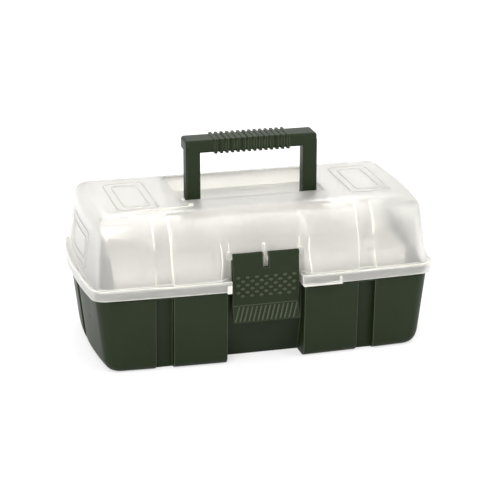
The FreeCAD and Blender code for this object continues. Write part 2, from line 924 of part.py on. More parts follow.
# Front latch
def front_latch():
    wall = "latch_wall"
    waist = "-latch_pivot_forward - latch_waist"
    lip = "-latch_pivot_forward - latch_lip"
    side_start = "latch_middle - latch_width/2"
    plate = padded(
        "LatchPlate",
        "YZ_Plane",
        [
            (waist, "latch_flare_height"),
            (lip, "latch_bottom"),
            (f"{lip} + {wall}", "latch_bottom"),
            (f"{waist} + {wall}", f"latch_flare_height + {wall}/4"),
            (f"-latch_pivot_forward - latch_barrel_radius + {wall}", "latch_pivot_height"),
            (
                "-latch_pivot_forward - latch_barrel_radius",
                "latch_pivot_height",
                "latch_belly_radius",
            ),
        ],
        side_start,
        "latch_width",
    )
    barrel = rod(
        "LatchBarrel",
        "x",
        "latch_barrel_radius",
        side_start,
        "latch_width",
        ("-latch_pivot_forward", "latch_pivot_height"),
    )
    # Stiffening ribs down both sides, on the back
    ribs = []
    for side, start in (("Left", side_start), ("Right", f"latch_middle + latch_width/2 - {wall}")):
        ribs.append(
            box(
                f"LatchRib{side}",
                [
                    (start, f"{start} + {wall}"),
                    (f"{waist} + {wall}/2", f"{waist} + {wall} + latch_rib_depth"),
                    ("catch_bar_bottom + 2*catch_bar_height", "latch_pivot_height"),
                ],
            )
        )
    trunnions = []
    for side, start in (
        ("Left", f"{side_start} - latch_trunnion_length"),
        ("Right", f"latch_middle + latch_width/2 - {wall}/2"),
    ):
        trunnions.append(
            rod(
                f"LatchTrunnion{side}",
                "x",
                "latch_trunnion_radius",
                start,
                f"latch_trunnion_length + {wall}/2",
                ("-latch_pivot_forward", "latch_pivot_height"),
            )
        )
    # Hook that snaps under the catch bar
    hook_top = "catch_bar_bottom - catch_play"
    hook = padded(
        "LatchHook",
        "YZ_Plane",
        [
            (f"{waist} + {wall}/2", hook_top),
            (f"{waist} + {wall}/4", f"{hook_top} - 2*{wall}"),
            ("-latch_pivot_forward + latch_hook_reach", f"{hook_top} - {wall}"),
            ("-latch_pivot_forward + latch_hook_reach", hook_top),
        ],
        "latch_middle - catch_bar_width/2 + latch_wall",
        "catch_bar_width - 2*latch_wall",
    )
    solid = fuse("LatchSolid", plate, barrel, *ribs, *trunnions, hook)
    notch = box(
        "LatchNotch",
        [
            ("latch_middle - latch_notch_width/2", "latch_middle + latch_notch_width/2"),
            ("-skirt_depth", "0"),
            ("latch_notch_bottom", "latch_pivot_height + past"),
        ],
    )
    return cut("LatchNotched", solid, notch)


# Carrying handle
def carry_handle():
    front = "-handle_pivot_forward - handle_leg_depth/2"
    low = "handle_top - handle_bar_height"
    bar = padded(
        "HandleBar",
        "YZ_Plane",
        [
            (front, low),
            (f"{front} + handle_bar_depth", low),
            (f"{front} + handle_bar_depth", "handle_top"),
            (front, "handle_top"),
        ],
        "-handle_width/2",
        "handle_width",
    )
    pieces = [rounded(bar, "HandleBarEdges", "handle_round", lambda e: True)]
    for side, start in (("Left", "-handle_width/2"), ("Right", "handle_width/2 - handle_leg_width")):
        leg = padded(
            f"HandleLeg{side}",
            "XY_Plane",
            [
                (start, front),
                (f"{start} + handle_leg_width", front),
                (f"{start} + handle_leg_width", f"{front} + handle_leg_depth"),
                (start, f"{front} + handle_leg_depth"),
            ],
            "handle_pivot_height",
            "handle_top - handle_bar_height/2 - handle_pivot_height",
        )
        pieces.append(rounded(leg, f"HandleLeg{side}Edges", "handle_leg_round", upright))
        pieces.append(
            rod(
                f"HandleFoot{side}",
                "x",
                "handle_leg_depth/2",
                start,
                "handle_leg_width",
                ("-handle_pivot_forward", "handle_pivot_height"),
            )
        )
    for number in range(HANDLE_RIBS):
        middle = f"handle_rib_pitch*({number} - {HANDLE_RIBS - 1}/2)"
        pieces.append(
            box(
                f"HandleRib{number + 1}",
                [
                    (f"{middle} - handle_rib_width/2", f"{middle} + handle_rib_width/2"),
                    (f"{front} - handle_rib_rise", f"{front} + handle_bar_depth + handle_rib_rise"),
                    (f"{low} - handle_rib_rise", "handle_top + handle_rib_rise"),
                ],
            )
        )
    for side, start in (
        ("Left", "-handle_width/2 - handle_stub_length"),
        ("Right", "handle_width/2 - handle_leg_width/2"),
    ):
        pieces.append(
            rod(
                f"HandleStub{side}",
                "x",
                "handle_stub_radius",
                start,
                "handle_stub_length + handle_leg_width/2",
                ("-handle_pivot_forward", "handle_pivot_height"),
            )
        )
    return fuse("HandleSolid", *pieces)


# Trays and their dividers
def tray(name, front, rear, bottom, height, slots):
    """Open tray with round corners and pairs of small ribs that hold the dividers."""

    def block(part, inset, low, high):
        corners = [
            (f"-tray_length/2 + ({inset})", f"-{front} + ({inset})"),
            (f"tray_length/2 - ({inset})", f"-{front} + ({inset})"),
            (f"tray_length/2 - ({inset})", f"{rear} - ({inset})"),
            (f"-tray_length/2 + ({inset})", f"{rear} - ({inset})"),
        ]
        body = padded(part, "XY_Plane", corners, low, f"({high}) - ({low})")
        return rounded(body, part + "Corners", f"tray_corner - ({inset})", upright)

    outer = block(name + "Block", "0", bottom, f"{bottom} + {height}")
    room = block(name + "Room", "tray_wall", f"{bottom} + tray_wall", f"{bottom} + {height} + past")
    shell = cut(name + "Shell", outer, room)
    ribs = []
    for number, place in enumerate(slots, start=1):
        for hand, start in (
            ("A", f"{place} - divider_thickness/2 - divider_slot_gap - divider_rib"),
            ("B", f"{place} + divider_thickness/2 + divider_slot_gap"),
        ):
            for wall, low, high in (
                ("Front", f"-{front} + tray_wall/2", f"-{front} + tray_wall + divider_rib_out"),
                ("Rear", f"{rear} - tray_wall - divider_rib_out", f"{rear} - tray_wall/2"),
            ):
                ribs.append(
                    box(
                        f"{name}Rib{number}{hand}{wall}",
                        [
                            (start, f"{start} + divider_rib"),
                            (low, high),
                            (f"{bottom} + tray_wall/2", f"{bottom} + {height} - divider_rib"),
                        ],
                    )
                )
    return fuse(name + "Tray", shell, *ribs)


def divider(name, place, front, rear, bottom, height):
    """One removable divider standing in its slots."""
    return box(
        name,
        [
            (f"{place} - divider_thickness/2", f"{place} + divider_thickness/2"),
            (f"-{front} + tray_wall + divider_slot_gap", f"{rear} - tray_wall - divider_slot_gap"),
            (f"{bottom} + tray_wall", f"{bottom} + {height} - divider_rib"),
        ],
    )


# Arms, links and pins
def arm(name, pivot, with_link):
    """Right-hand arm plate with its pin holes, seen from the end of the box."""
    m = "arm_margin" if with_link else "rear_arm_margin"
    low = "arm_pivot_height"
    points = [
        (f"{pivot} + {m}", f"{low} - {m}*1.2"),
        (f"{pivot} - lower_pin_forward", f"{low} - lower_pin_drop - {m}*1.3"),
        (f"{pivot} - upper_pin_forward - {m}*1.1", f"{low} + upper_pin_rise - {m}*0.4"),
    ]
    if with_link:
        points += [
            (f"{pivot} - link_pin_forward - {m}", f"{low} + link_pin_rise + {m}*0.9"),
            (f"{pivot} - link_pin_forward + {m}", f"{low} + link_pin_rise + {m}*0.9"),
        ]
    else:
        points += [
            (f"{pivot} - upper_pin_forward - {m}*0.6", f"{low} + upper_pin_rise + {m}*1.1"),
            (f"{pivot} - upper_pin_forward + {m}*0.8", f"{low} + upper_pin_rise + {m}*1.1"),
        ]
    points.append((f"{pivot} + {m}", f"{low} + {m}*1.1"))
    points.reverse()
    plate = padded(name + "Plate", "YZ_Plane", points, "arm_outer_face - arm_thickness", "arm_thickness")
    plate = rounded(
        plate,
        name + "Rounds",
        "arm_round",
        lambda e: abs(e.Vertexes[-1].X - e.Vertexes[0].X) > SAME,
    )
    loose = "arm_hole_gap" if with_link else "open_pivot_gap"
    holes = [
        ("Pivot", pivot, low, "arm_hole_gap"),
        ("Lower", f"{pivot} - lower_pin_forward", f"{low} - lower_pin_drop", loose),
        ("Upper", f"{pivot} - upper_pin_forward", f"{low} + upper_pin_rise", loose),
    ]
    if with_link:
        link_spot = (f"{pivot} - link_pin_forward", f"{low} + link_pin_rise")
        holes.append(("Link", *link_spot, "open_pivot_gap"))
    bores = [
        rod(
            f"{name}Hole{label}",
            "x",
            f"arm_pin_radius + {gap}",
            "arm_outer_face - arm_thickness - past",
            "arm_thickness + 2*past",
            (along, height),
        )
        for label, along, height, gap in holes
    ]
    return cut(name + "Bored", plate, *bores)


def link():
    """Right-hand link between a front arm and the lid."""
    start = "arm_outer_face + 2*side_play"
    near = ("-front_arm_pivot - link_pin_forward", "arm_pivot_height + link_pin_rise")
    far = ("hinge_behind - link_pin_forward", "hinge_height + link_pin_rise")
    run = f"({far[0]} - ({near[0]}))"
    climb = f"({far[1]} - ({near[1]}))"
    reach = f"sqrt({run}^2 + {climb}^2)"
    side_y = f"(link_width/2*{climb}/{reach})"
    side_z = f"(link_width/2*{run}/{reach})"
    strip = padded(
        "LinkStrip",
        "YZ_Plane",
        [
            (f"{near[0]} + {side_y}", f"{near[1]} - {side_z}"),
            (f"{far[0]} + {side_y}", f"{far[1]} - {side_z}"),
            (f"{far[0]} - {side_y}", f"{far[1]} + {side_z}"),
            (f"{near[0]} - {side_y}", f"{near[1]} + {side_z}"),
        ],
        start,
        "link_thickness",
    )
    eyes = [
        rod(f"LinkEye{label}", "x", "link_width/2", start, "link_thickness", spot)
        for label, spot in (("Near", near), ("Far", far))
    ]
    solid = fuse("LinkSolid", strip, *eyes)
    bores = [
        rod(
            f"LinkHole{label}",
            "x",
            "arm_pin_radius + arm_hole_gap",
            f"{start} - past",
            "link_thickness + 2*past",
            spot,
        )
        for label, spot in (("Near", near), ("Far", far))
    ]
    return cut("LinkBored", solid, *bores)


def pin(name, start, stop, place, head):
    """One pin along X on the right-hand side, with a flat head at its inner or outer end."""
    shank = rod(name + "Shank", "x", "arm_pin_radius", start, f"({stop}) - ({start})", place)
    low = start if head == "inner" else f"{stop} - pin_head"
    cap = rod(name + "Head", "x", "pin_head_radius", low, "pin_head", place)
    return fuse(name, shank, cap)


PIECES = []


def keep(name, item):
    """Name a finished piece; its label is its file's name."""
    item.Label = name
    PIECES.append(item)
    return item


def keep_both(name, item):
    """Keep a right-hand piece and its mirror on the left."""
    keep(name + "_right", item)
    keep(name + "_left", mirrored(item.Name + "Left", item))


def both_ends(name, *items):
    """The right-hand items and their mirrors on the left as one node."""
    row = list(items) + [mirrored(item.Name + "Left", item) for item in items]
    return group(name, *row)


keep("base_tub", base_tub())
keep("lid_shell", lid_shell())
for side, sign in (("left", "-"), ("right", "")):
    keep(
        f"hinge_pin_{side}",
        rod(
            f"HingePin{side}",
            "x",
            "hinge_pin_radius",
            f"{sign}hinge_spacing/2 - 1.5*hinge_knuckle_length - 2*hinge_gap",
            "3*hinge_knuckle_length + 4*hinge_gap",
            ("hinge_behind", "hinge_height"),
        ),
    )
keep("front_latch", front_latch())
keep("carry_handle", carry_handle())

LOWER = ("lower_tray_front", "lower_tray_rear", "lower_tray_bottom", "lower_tray_height")
UPPER = ("upper_tray_front", "upper_tray_rear", "upper_tray_bottom", "upper_tray_height")
for level_name, sides, count in (("lower_tray", LOWER, 3), ("upper_tray", UPPER, 4)):
    spots = [f"tray_length*({n}/({count} + 1) - 0.5)" for n in range(1, count + 1)]
    title = level_name.title().replace("_", "")
    keep(level_name, tray(title, *sides, spots))
    for number, place in enumerate(spots, start=1):
        keep(f"{level_name}_divider_{number}", divider(f"{title}Divider{number}", place, *sides))

ARMS = (("front_arm", "-front_arm_pivot", True), ("rear_arm", "rear_arm_pivot", False))
for name, pivot, with_link in ARMS:
    keep_both(name, arm(name.title().replace("_", ""), pivot, with_link))
keep_both("lid_link", link())

ARM_INNER = "arm_outer_face - arm_thickness"
base_pins = []
tray_pins = {"lower": [], "upper": []}
for name, pivot, with_link in ARMS:
    title = name.title().replace("_", "")
    base_pins.append(
        pin(
            f"{title}BasePin",
            f"{ARM_INNER} - side_play/4 - pin_head",
            "arm_outer_face + 3*pin_head",
            (pivot, "arm_pivot_height"),
            "inner",
        )
    )
    spots = {
        "lower": (f"{pivot} - lower_pin_forward", "arm_pivot_height - lower_pin_drop"),
        "upper": (f"{pivot} - upper_pin_forward", "arm_pivot_height + upper_pin_rise"),
    }
    for row, spot in spots.items():
        tray_pins[row].append(
            pin(
                f"{title}{row.title()}Pin",
                "tray_length/2 - tray_wall - pin_head",
                "arm_outer_face + side_play/2",
                spot,
                "inner",
            )
        )
keep("arm_base_pins", both_ends("ArmBasePins", *base_pins))
keep("lower_tray_pins", both_ends("LowerTrayPins", *tray_pins["lower"]))
keep("upper_tray_pins", both_ends("UpperTrayPins", *tray_pins["upper"]))
LINK_OUTER = "arm_outer_face + 2*side_play + link_thickness"
keep(
    "link_arm_pins",
    both_ends(
        "LinkArmPins",
        pin(
            "LinkArmPin",
            f"{ARM_INNER} - side_play/2",
            f"{LINK_OUTER} + side_play/2 + pin_head",
            ("-front_arm_pivot - link_pin_forward", "arm_pivot_height + link_pin_rise"),
            "outer",
        ),
    ),
)
keep(
    "link_lid_pins",
    both_ends(
        "LinkLidPins",
        pin(
            "LinkLidPin",
            "arm_outer_face + 2*side_play - side_play/4 - pin_head",
            f"{LINK_OUTER} + 4*pin_head",
            ("hinge_behind - link_pin_forward", "hinge_height + link_pin_rise"),
            "inner",
        ),
    ),
)

# Check every object and piece, then write the files
doc.recompute()
for item in doc.Objects:
    if "Invalid" in item.State or "Error" in item.State:
        raise ValueError(f"{item.Name} failed: {item.State}")
for piece in PIECES:
    shape = piece.Shape
    if shape.isNull() or not shape.isValid():
        raise ValueError(f"{piece.Label} has no valid shape")
    print(f"{piece.Label}: {len(shape.Solids)} solid, {shape.Volume:.0f} mm3")
for piece in PIECES:
    piece.Shape.exportStep(f"parts/{piece.Label}.step")
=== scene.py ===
import json
import math

import bmesh
import bpy
from mathutils import Matrix, Vector
from mathutils.bvhtree import BVHTree
from mathutils.geometry import intersect_point_line


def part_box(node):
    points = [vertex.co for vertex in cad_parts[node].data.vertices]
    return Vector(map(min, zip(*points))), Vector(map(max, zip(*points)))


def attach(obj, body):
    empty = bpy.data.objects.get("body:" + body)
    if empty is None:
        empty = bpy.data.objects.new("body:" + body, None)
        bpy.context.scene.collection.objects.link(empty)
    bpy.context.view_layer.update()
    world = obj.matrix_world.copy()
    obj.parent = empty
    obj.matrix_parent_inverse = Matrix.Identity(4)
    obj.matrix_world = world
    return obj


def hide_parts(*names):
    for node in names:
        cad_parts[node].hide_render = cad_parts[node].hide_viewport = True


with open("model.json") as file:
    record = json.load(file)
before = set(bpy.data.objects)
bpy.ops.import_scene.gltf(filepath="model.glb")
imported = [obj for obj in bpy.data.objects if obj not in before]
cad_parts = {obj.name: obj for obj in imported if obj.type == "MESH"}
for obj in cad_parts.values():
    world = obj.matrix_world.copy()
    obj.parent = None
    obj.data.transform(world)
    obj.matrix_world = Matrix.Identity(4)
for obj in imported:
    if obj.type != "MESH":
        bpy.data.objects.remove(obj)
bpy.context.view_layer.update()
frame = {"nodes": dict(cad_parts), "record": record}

nodes = frame["nodes"]


# Tub: the deep lower half of the box, one moulding of dark olive polypropylene.
# Its sharp mould edges are eased by about half a millimetre and drawn paler: a painted
# highlight where light catches them, with a little rubbing wear. The skin has a faint flow
# pattern with a very fine grain.
flow = bpy.data.node_groups.new("moulded_skin", "ShaderNodeTree")
flow.interface.new_socket("Coord", in_out="INPUT", socket_type="NodeSocketVector")
flow.interface.new_socket("Flow Scale", in_out="INPUT", socket_type="NodeSocketFloat")
flow.interface.new_socket("Grain Scale", in_out="INPUT", socket_type="NodeSocketFloat")
flow.interface.new_socket("Flow", in_out="OUTPUT", socket_type="NodeSocketFloat")
flow.interface.new_socket("Grain", in_out="OUTPUT", socket_type="NodeSocketFloat")
flow.interface.new_socket("Scuffs", in_out="OUTPUT", socket_type="NodeSocketFloat")
flow_in = flow.nodes.new("NodeGroupInput")
flow_out = flow.nodes.new("NodeGroupOutput")
cloud = flow.nodes.new("ShaderNodeTexNoise")
cloud.inputs["Detail"].default_value = 4.0
flow.links.new(flow_in.outputs["Coord"], cloud.inputs["Vector"])
flow.links.new(flow_in.outputs["Flow Scale"], cloud.inputs["Scale"])
flow.links.new(cloud.outputs["Fac"], flow_out.inputs["Flow"])
grain = flow.nodes.new("ShaderNodeTexNoise")
grain.inputs["Detail"].default_value = 2.0
flow.links.new(flow_in.outputs["Coord"], grain.inputs["Vector"])
flow.links.new(flow_in.outputs["Grain Scale"], grain.inputs["Scale"])
flow.links.new(grain.outputs["Fac"], flow_out.inputs["Grain"])
streaks = flow.nodes.new("ShaderNodeMapping")
streaks.inputs["Scale"].default_value = (14.0, 90.0, 160.0)
scratch = flow.nodes.new("ShaderNodeTexNoise")
scratch.inputs["Scale"].default_value = 1.0
scratch.inputs["Detail"].default_value = 6.0
sparse = flow.nodes.new("ShaderNodeMapRange")
sparse.inputs["From Min"].default_value = 0.62
sparse.inputs["From Max"].default_value = 0.74
flow.links.new(flow_in.outputs["Coord"], streaks.inputs["Vector"])
flow.links.new(streaks.outputs["Vector"], scratch.inputs["Vector"])
flow.links.new(scratch.outputs["Fac"], sparse.inputs["Value"])
flow.links.new(sparse.outputs["Result"], flow_out.inputs["Scuffs"])


def moulded(name, dark, light, gloss, scuffed, grain_depth, grain_scale=1400.0):
    """A moulded plastic with two tones that drift with the flow, dull scuffs and a grain."""
    material = bpy.data.materials.new(name)
    material.use_nodes = True
    tree = material.node_tree
    shader = tree.nodes["Principled BSDF"]
    shader.inputs["IOR"].default_value = 1.46
    place = tree.nodes.new("ShaderNodeTexCoord")
    skin = tree.nodes.new("ShaderNodeGroup")
    skin.node_tree = flow
    skin.inputs["Flow Scale"].default_value = 26.0
    skin.inputs["Grain Scale"].default_value = grain_scale
    tree.links.new(place.outputs["Object"], skin.inputs["Coord"])
    tone = tree.nodes.new("ShaderNodeMix")
    tone.data_type = "RGBA"
    tone.inputs["A"].default_value = (*dark, 1)
    tone.inputs["B"].default_value = (*light, 1)
    tree.links.new(skin.outputs["Flow"], tone.inputs["Factor"])
    tree.links.new(tone.outputs["Result"], shader.inputs["Base Color"])
    sheen = tree.nodes.new("ShaderNodeMapRange")
    sheen.inputs["To Min"].default_value = gloss
    sheen.inputs["To Max"].default_value = scuffed
    tree.links.new(skin.outputs["Scuffs"], sheen.inputs["Value"])
    tree.links.new(sheen.outputs["Result"], shader.inputs["Roughness"])
    bump = tree.nodes.new("ShaderNodeBump")
    bump.inputs["Distance"].default_value = grain_depth
    bump.inputs["Strength"].default_value = 0.6
    tree.links.new(skin.outputs["Grain"], bump.inputs["Height"])
    tree.links.new(bump.outputs["Normal"], shader.inputs["Normal"])
    return material


# A seam that folds by less than flat_fold lies within a flat wall.
flat_fold = math.radians(0.6)
shallow_turn = math.radians(20)
long_seam = 0.01


def grazed(edge):
    """Whether a long seam within a flat wall leaves an edge's end at a shallow angle."""
    for corner in edge.verts:
        along = edge.other_vert(corner).co - corner.co
        for seam in corner.link_edges:
            if seam.calc_length() <= long_seam or not seam.is_manifold:
                continue
            if seam.calc_face_angle() >= flat_fold:
                continue
            if along.angle(seam.other_vert(corner).co - corner.co) < shallow_turn:
                return True
    return False


def crowded(edge, ease):
    """Whether an adjoining face has a corner nearer to an edge than its easing reaches."""
    start, end = (corner.co for corner in edge.verts)
    for face in edge.link_faces:
        for corner in face.verts:
            if corner not in edge.verts:
                near, along = intersect_point_line(corner.co, start, end)
                if 0 < along < 1 and (corner.co - near).length < ease:
                    return True
    return False


merge_reach = 0.00002
least_edge = 0.0015
sharp_fold = math.radians(34)
shading_fold = math.radians(32)
most_corners = 6


def dressed(node, name, body, skin, edge_highlight, ease):
    """A copy of a CAD solid with its sharp edges eased, which stands in for the solid.

    Points that the easing throws off the solid's skin go back onto it. Faces with more
    corners than most_corners are broad flat walls and are shaded flat.
    """
    shape = bmesh.new()
    shape.from_mesh(nodes[node].data)
    bmesh.ops.remove_doubles(shape, verts=shape.verts, dist=merge_reach)
    solid_skin = BVHTree.FromBMesh(shape)
    bmesh.ops.dissolve_limit(shape, angle_limit=flat_fold, verts=shape.verts, edges=shape.edges)
    sharp = [
        edge
        for edge in shape.edges
        if edge.is_manifold
        and edge.calc_face_angle() > sharp_fold
        and edge.calc_length() > least_edge
        and not grazed(edge)
        and not crowded(edge, ease)
    ]
    eased = bmesh.ops.bevel(
        shape,
        geom=sharp,
        offset=ease,
        offset_type="OFFSET",
        affect="EDGES",
        segments=2,
        profile=0.5,
        material=-1,
        clamp_overlap=False,
    )
    for vertex in shape.verts:
        near, _, _, off_skin = solid_skin.find_nearest(vertex.co)
        if off_skin > ease:
            vertex.co = near
    for face in shape.faces:
        face.material_index = 0
        face.smooth = len(face.verts) <= most_corners
    # The eased faces take the second material: edge colour painted as a highlight where light
    # catches or gathers in them.
    for face in eased["faces"]:
        face.material_index = 1
    mesh = bpy.data.meshes.new(name)
    shape.to_mesh(mesh)
    shape.free()
    mesh.materials.append(skin)
    mesh.materials.append(edge_highlight)
    mesh.set_sharp_from_angle(angle=shading_fold)
    piece = bpy.data.objects.new(name, mesh)
    bpy.context.scene.collection.objects.link(piece)
    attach(piece, body)
    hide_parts(node)


olive = moulded(
    "olive_plastic",
    dark=(0.0055, 0.0115, 0.0022),
    light=(0.0095, 0.0165, 0.0045),
    gloss=0.46,
    scuffed=0.58,
    grain_depth=0.00006,
)
olive.node_tree.nodes["Principled BSDF"].inputs["Specular IOR Level"].default_value = 0.2
# The paler olive of eased edges and small raised marks is a painted highlight, with a little
# rubbing wear.
olive_edge_highlight = moulded(
    "olive_edge_highlight",
    dark=(0.026, 0.036, 0.017),
    light=(0.036, 0.048, 0.024),
    gloss=0.34,
    scuffed=0.48,
    grain_depth=0.00004,
)
olive_edge_highlight.node_tree.nodes["Principled BSDF"].inputs["Specular IOR Level"].default_value = 0.3
tub_ease = 0.0006
dressed("base_tub", "tub_moulding", "base", olive, olive_edge_highlight, tub_ease)


# Lid: the domed cover, one thin moulding of frosted clear polypropylene, hinged to the
# tub at the rear. Light gathers in its eased edges, so they show as cream lines.
frosted = moulded(
    "frosted_plastic",
    dark=(0.96, 0.945, 0.905),
    light=(0.98, 0.97, 0.94),
    gloss=0.30,
    scuffed=0.34,
    grain_depth=0.00003,
    grain_scale=700.0,
)
frosted.node_tree.nodes["Principled BSDF"].inputs["Transmission Weight"].default_value = 0.85
cream = moulded(
    "frosted_edge",
    dark=(0.90, 0.885, 0.80),
    light=(0.93, 0.915, 0.84),
    gloss=0.34,
    scuffed=0.42,
    grain_depth=0.00002,
)
cream.node_tree.nodes["Principled BSDF"].inputs["Transmission Weight"].default_value = 0.45
lid_ease = 0.0006
dressed("lid_shell", "lid_moulding", "lid", frosted, cream, lid_ease)


# Raised fields of the lid: plain double frames near both ends of its top and on its end
# walls, and a thin ridge with a small boss in front of the left one. They belong to the
# lid's moulding, so every point of them is set down on its skin.
def skin_of(node):
    """The outer and inner faces of a CAD node, for finding points on them."""
    copy = bmesh.new()
    copy.from_mesh(nodes[node].data)
    tree = BVHTree.FromBMesh(copy)
    copy.free()
    return tree


# Lines towards the skin start this far outside, well clear of the box.
outside = 0.5


def point_on(tree, start, way):
    """Where a straight line first meets a skin."""
    spot = tree.ray_cast(Vector(start), Vector(way))[0]
    if spot is None:
        raise ValueError(f"no skin ahead of {start}")
    return spot


def set_down(shape, tree, centre, way, sunk):
    """Lay a flat shape on a node's skin, looking along way; its Z becomes height above it."""
    axis = max(range(3), key=lambda n: abs(way[n]))
    across = [n for n in range(3) if n != axis]
    for vertex in shape.verts:
        drawn = vertex.co.copy()
        start = -outside * way
        start[across[0]] = drawn.x + centre[0]
        start[across[1]] = drawn.y + centre[1]
        vertex.co = point_on(tree, start, way) - way * (drawn.z - sunk)
    bmesh.ops.recalc_face_normals(shape, faces=shape.faces)
    if shape.calc_volume(signed=True) < 0:
        bmesh.ops.reverse_faces(shape, faces=shape.faces)


relief_fold = math.radians(40)


def moulded_on(shape, name, body, skin):
    """A finished piece from a bmesh, smooth apart from its sharp edges."""
    mesh = bpy.data.meshes.new(name)
    shape.to_mesh(mesh)
    shape.free()
    for polygon in mesh.polygons:
        polygon.use_smooth = True
    mesh.set_sharp_from_angle(angle=relief_fold)
    mesh.materials.append(skin)
    piece = bpy.data.objects.new(name, mesh)
    bpy.context.scene.collection.objects.link(piece)
    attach(piece, body)


def frame_rim(spans, corner, width, rise):
    """A flat closed rim round a rectangle with round corners, cut up to follow a curve."""
    shape = bmesh.new()
    bmesh.ops.create_grid(shape, x_segments=1, y_segments=1, size=0.5)
    bmesh.ops.scale(shape, vec=(spans[0], spans[1], 1), verts=shape.verts)
    bmesh.ops.bevel(
        shape,
        geom=shape.verts[:],
        offset=corner,
        affect="VERTICES",
        segments=6,
        profile=0.5,
        material=-1,
    )
    bmesh.ops.inset_region(shape, faces=shape.faces[:], thickness=width, use_boundary=True)
    middle = max(shape.faces, key=lambda face: face.calc_area())
    bmesh.ops.delete(shape, geom=[middle], context="FACES_ONLY")
    long_edges = [edge for edge in shape.edges if edge.calc_length() > 4 * width]
    bmesh.ops.subdivide_edges(shape, edges=long_edges, cuts=12, use_grid_fill=True)
    raised = bmesh.ops.extrude_face_region(shape, geom=shape.faces[:])["geom"]
    top = [item for item in raised if isinstance(item, bmesh.types.BMVert)]
    bmesh.ops.translate(shape, vec=(0, 0, rise), verts=top)
    return shape


steep_fold = 1.0


def ease_top(shape, rise):
    """Round the upper edges of a low flat shape."""
    upper = [
        edge
        for edge in shape.edges
        if all(vertex.co.z > rise / 2 for vertex in edge.verts)
        and edge.is_manifold
        and edge.calc_face_angle() > steep_fold
    ]
    bmesh.ops.bevel(
        shape,
        geom=upper,
        offset=rise / 2,
        affect="EDGES",
        segments=2,
        profile=0.5,
        material=-1,
    )


lid_skin = skin_of("lid_shell")
down = Vector((0, 0, -1))
field_rise = 0.0010
field_sunk = 0.0002
rim_width = 0.0017
top_field = {"outer": (0.040, 0.086), "inner": (0.026, 0.070)}
top_field_corner = 0.007
top_field_along = 0.113
top_field_back = -0.004
end_field = {"outer": (0.076, 0.036), "inner": (0.062, 0.022)}
end_field_corner = 0.006
end_field_middle = (0.0, 0.109)
for side, label in ((-1, "left"), (1, "right")):
    for ring, spans in top_field.items():
        rim = frame_rim(spans, top_field_corner, rim_width, field_rise)
        ease_top(rim, field_rise)
        set_down(rim, lid_skin, (side * top_field_along, top_field_back), down, field_sunk)
        moulded_on(rim, f"top_field_{ring}_{label}", "lid", frosted)
    for ring, spans in end_field.items():
        rim = frame_rim(spans, end_field_corner, rim_width, field_rise)
        ease_top(rim, field_rise)
        set_down(rim, lid_skin, end_field_middle, Vector((-side, 0, 0)), field_sunk)
        moulded_on(rim, f"end_field_{ring}_{label}", "lid", frosted)

ridge_length = 0.070
ridge_width = 0.0014
ridge_turn = Matrix.Rotation(math.radians(4.5), 3, "Z")
ridge_middle = (-0.097, -0.0525)
ridge = bmesh.new()
bmesh.ops.create_cube(ridge, size=1.0)
bmesh.ops.scale(ridge, vec=(ridge_length, ridge_width, field_rise), verts=ridge.verts)
bmesh.ops.translate(ridge, vec=(0, 0, field_rise / 2), verts=ridge.verts)
lengthwise = [edge for edge in ridge.edges if edge.calc_length() > ridge_length / 2]
bmesh.ops.subdivide_edges(ridge, edges=lengthwise, cuts=14, use_grid_fill=True)
ease_top(ridge, field_rise)
bmesh.ops.rotate(ridge, cent=(0, 0, 0), matrix=ridge_turn, verts=ridge.verts)
set_down(ridge, lid_skin, ridge_middle, down, field_sunk)
# The ridge is drawn in the cream of the lid's edges: light gathered in the plastic, painted as
# colour.
moulded_on(ridge, "lid_ridge", "lid", cream)

boss_foot = 0.0032
boss_head = 0.0026
boss_rise = 0.0016
boss_middle = (-0.064, -0.0455)
boss = bmesh.new()
bmesh.ops.create_cone(
    boss,
    cap_ends=True,
    segments=20,
    radius1=boss_foot,
    radius2=boss_head,
    depth=boss_rise,
)
bmesh.ops.translate(boss, vec=(0, 0, boss_rise / 2), verts=boss.verts)
set_down(boss, lid_skin, boss_middle, down, field_sunk)
# The boss is drawn in the cream of the lid's edges: light gathered in the plastic, painted as
# colour.
moulded_on(boss, "lid_boss", "lid", cream)


# Stop block of the lid: a small square lump of the skirt at the left edge of the latch's
# gap. It is moulded with the skirt and stands a little proud of it.
stop_size = (0.0046, 0.0036, 0.0082)
stop_ease = 0.0007
stop_off_latch = 0.0007
stop_inset = 0.0046
stop_lift = 0.0046
skirt_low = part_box("lid_shell")[0]
latch_low, latch_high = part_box("front_latch")
stop = bmesh.new()
bmesh.ops.create_cube(stop, size=1.0)
bmesh.ops.scale(stop, vec=stop_size, verts=stop.verts)
bmesh.ops.bevel(
    stop,
    geom=stop.edges[:],
    offset=stop_ease,
    affect="EDGES",
    segments=2,
    profile=0.5,
    material=-1,
)
stop_spot = (latch_low[0] - stop_off_latch, skirt_low[1] + stop_inset, skirt_low[2] + stop_lift)
bmesh.ops.translate(stop, vec=stop_spot, verts=stop.verts)
# The block is drawn in the cream of the lid's edges: light gathered in the plastic, painted as
# colour.
moulded_on(stop, "lid_stop_block", "lid", cream)


# Latch: a broad flap of the same olive plastic, hung on the lid and hooked under the
# tub's catch bar. Rows of small domes roughen its face.
latch_ease = 0.0004
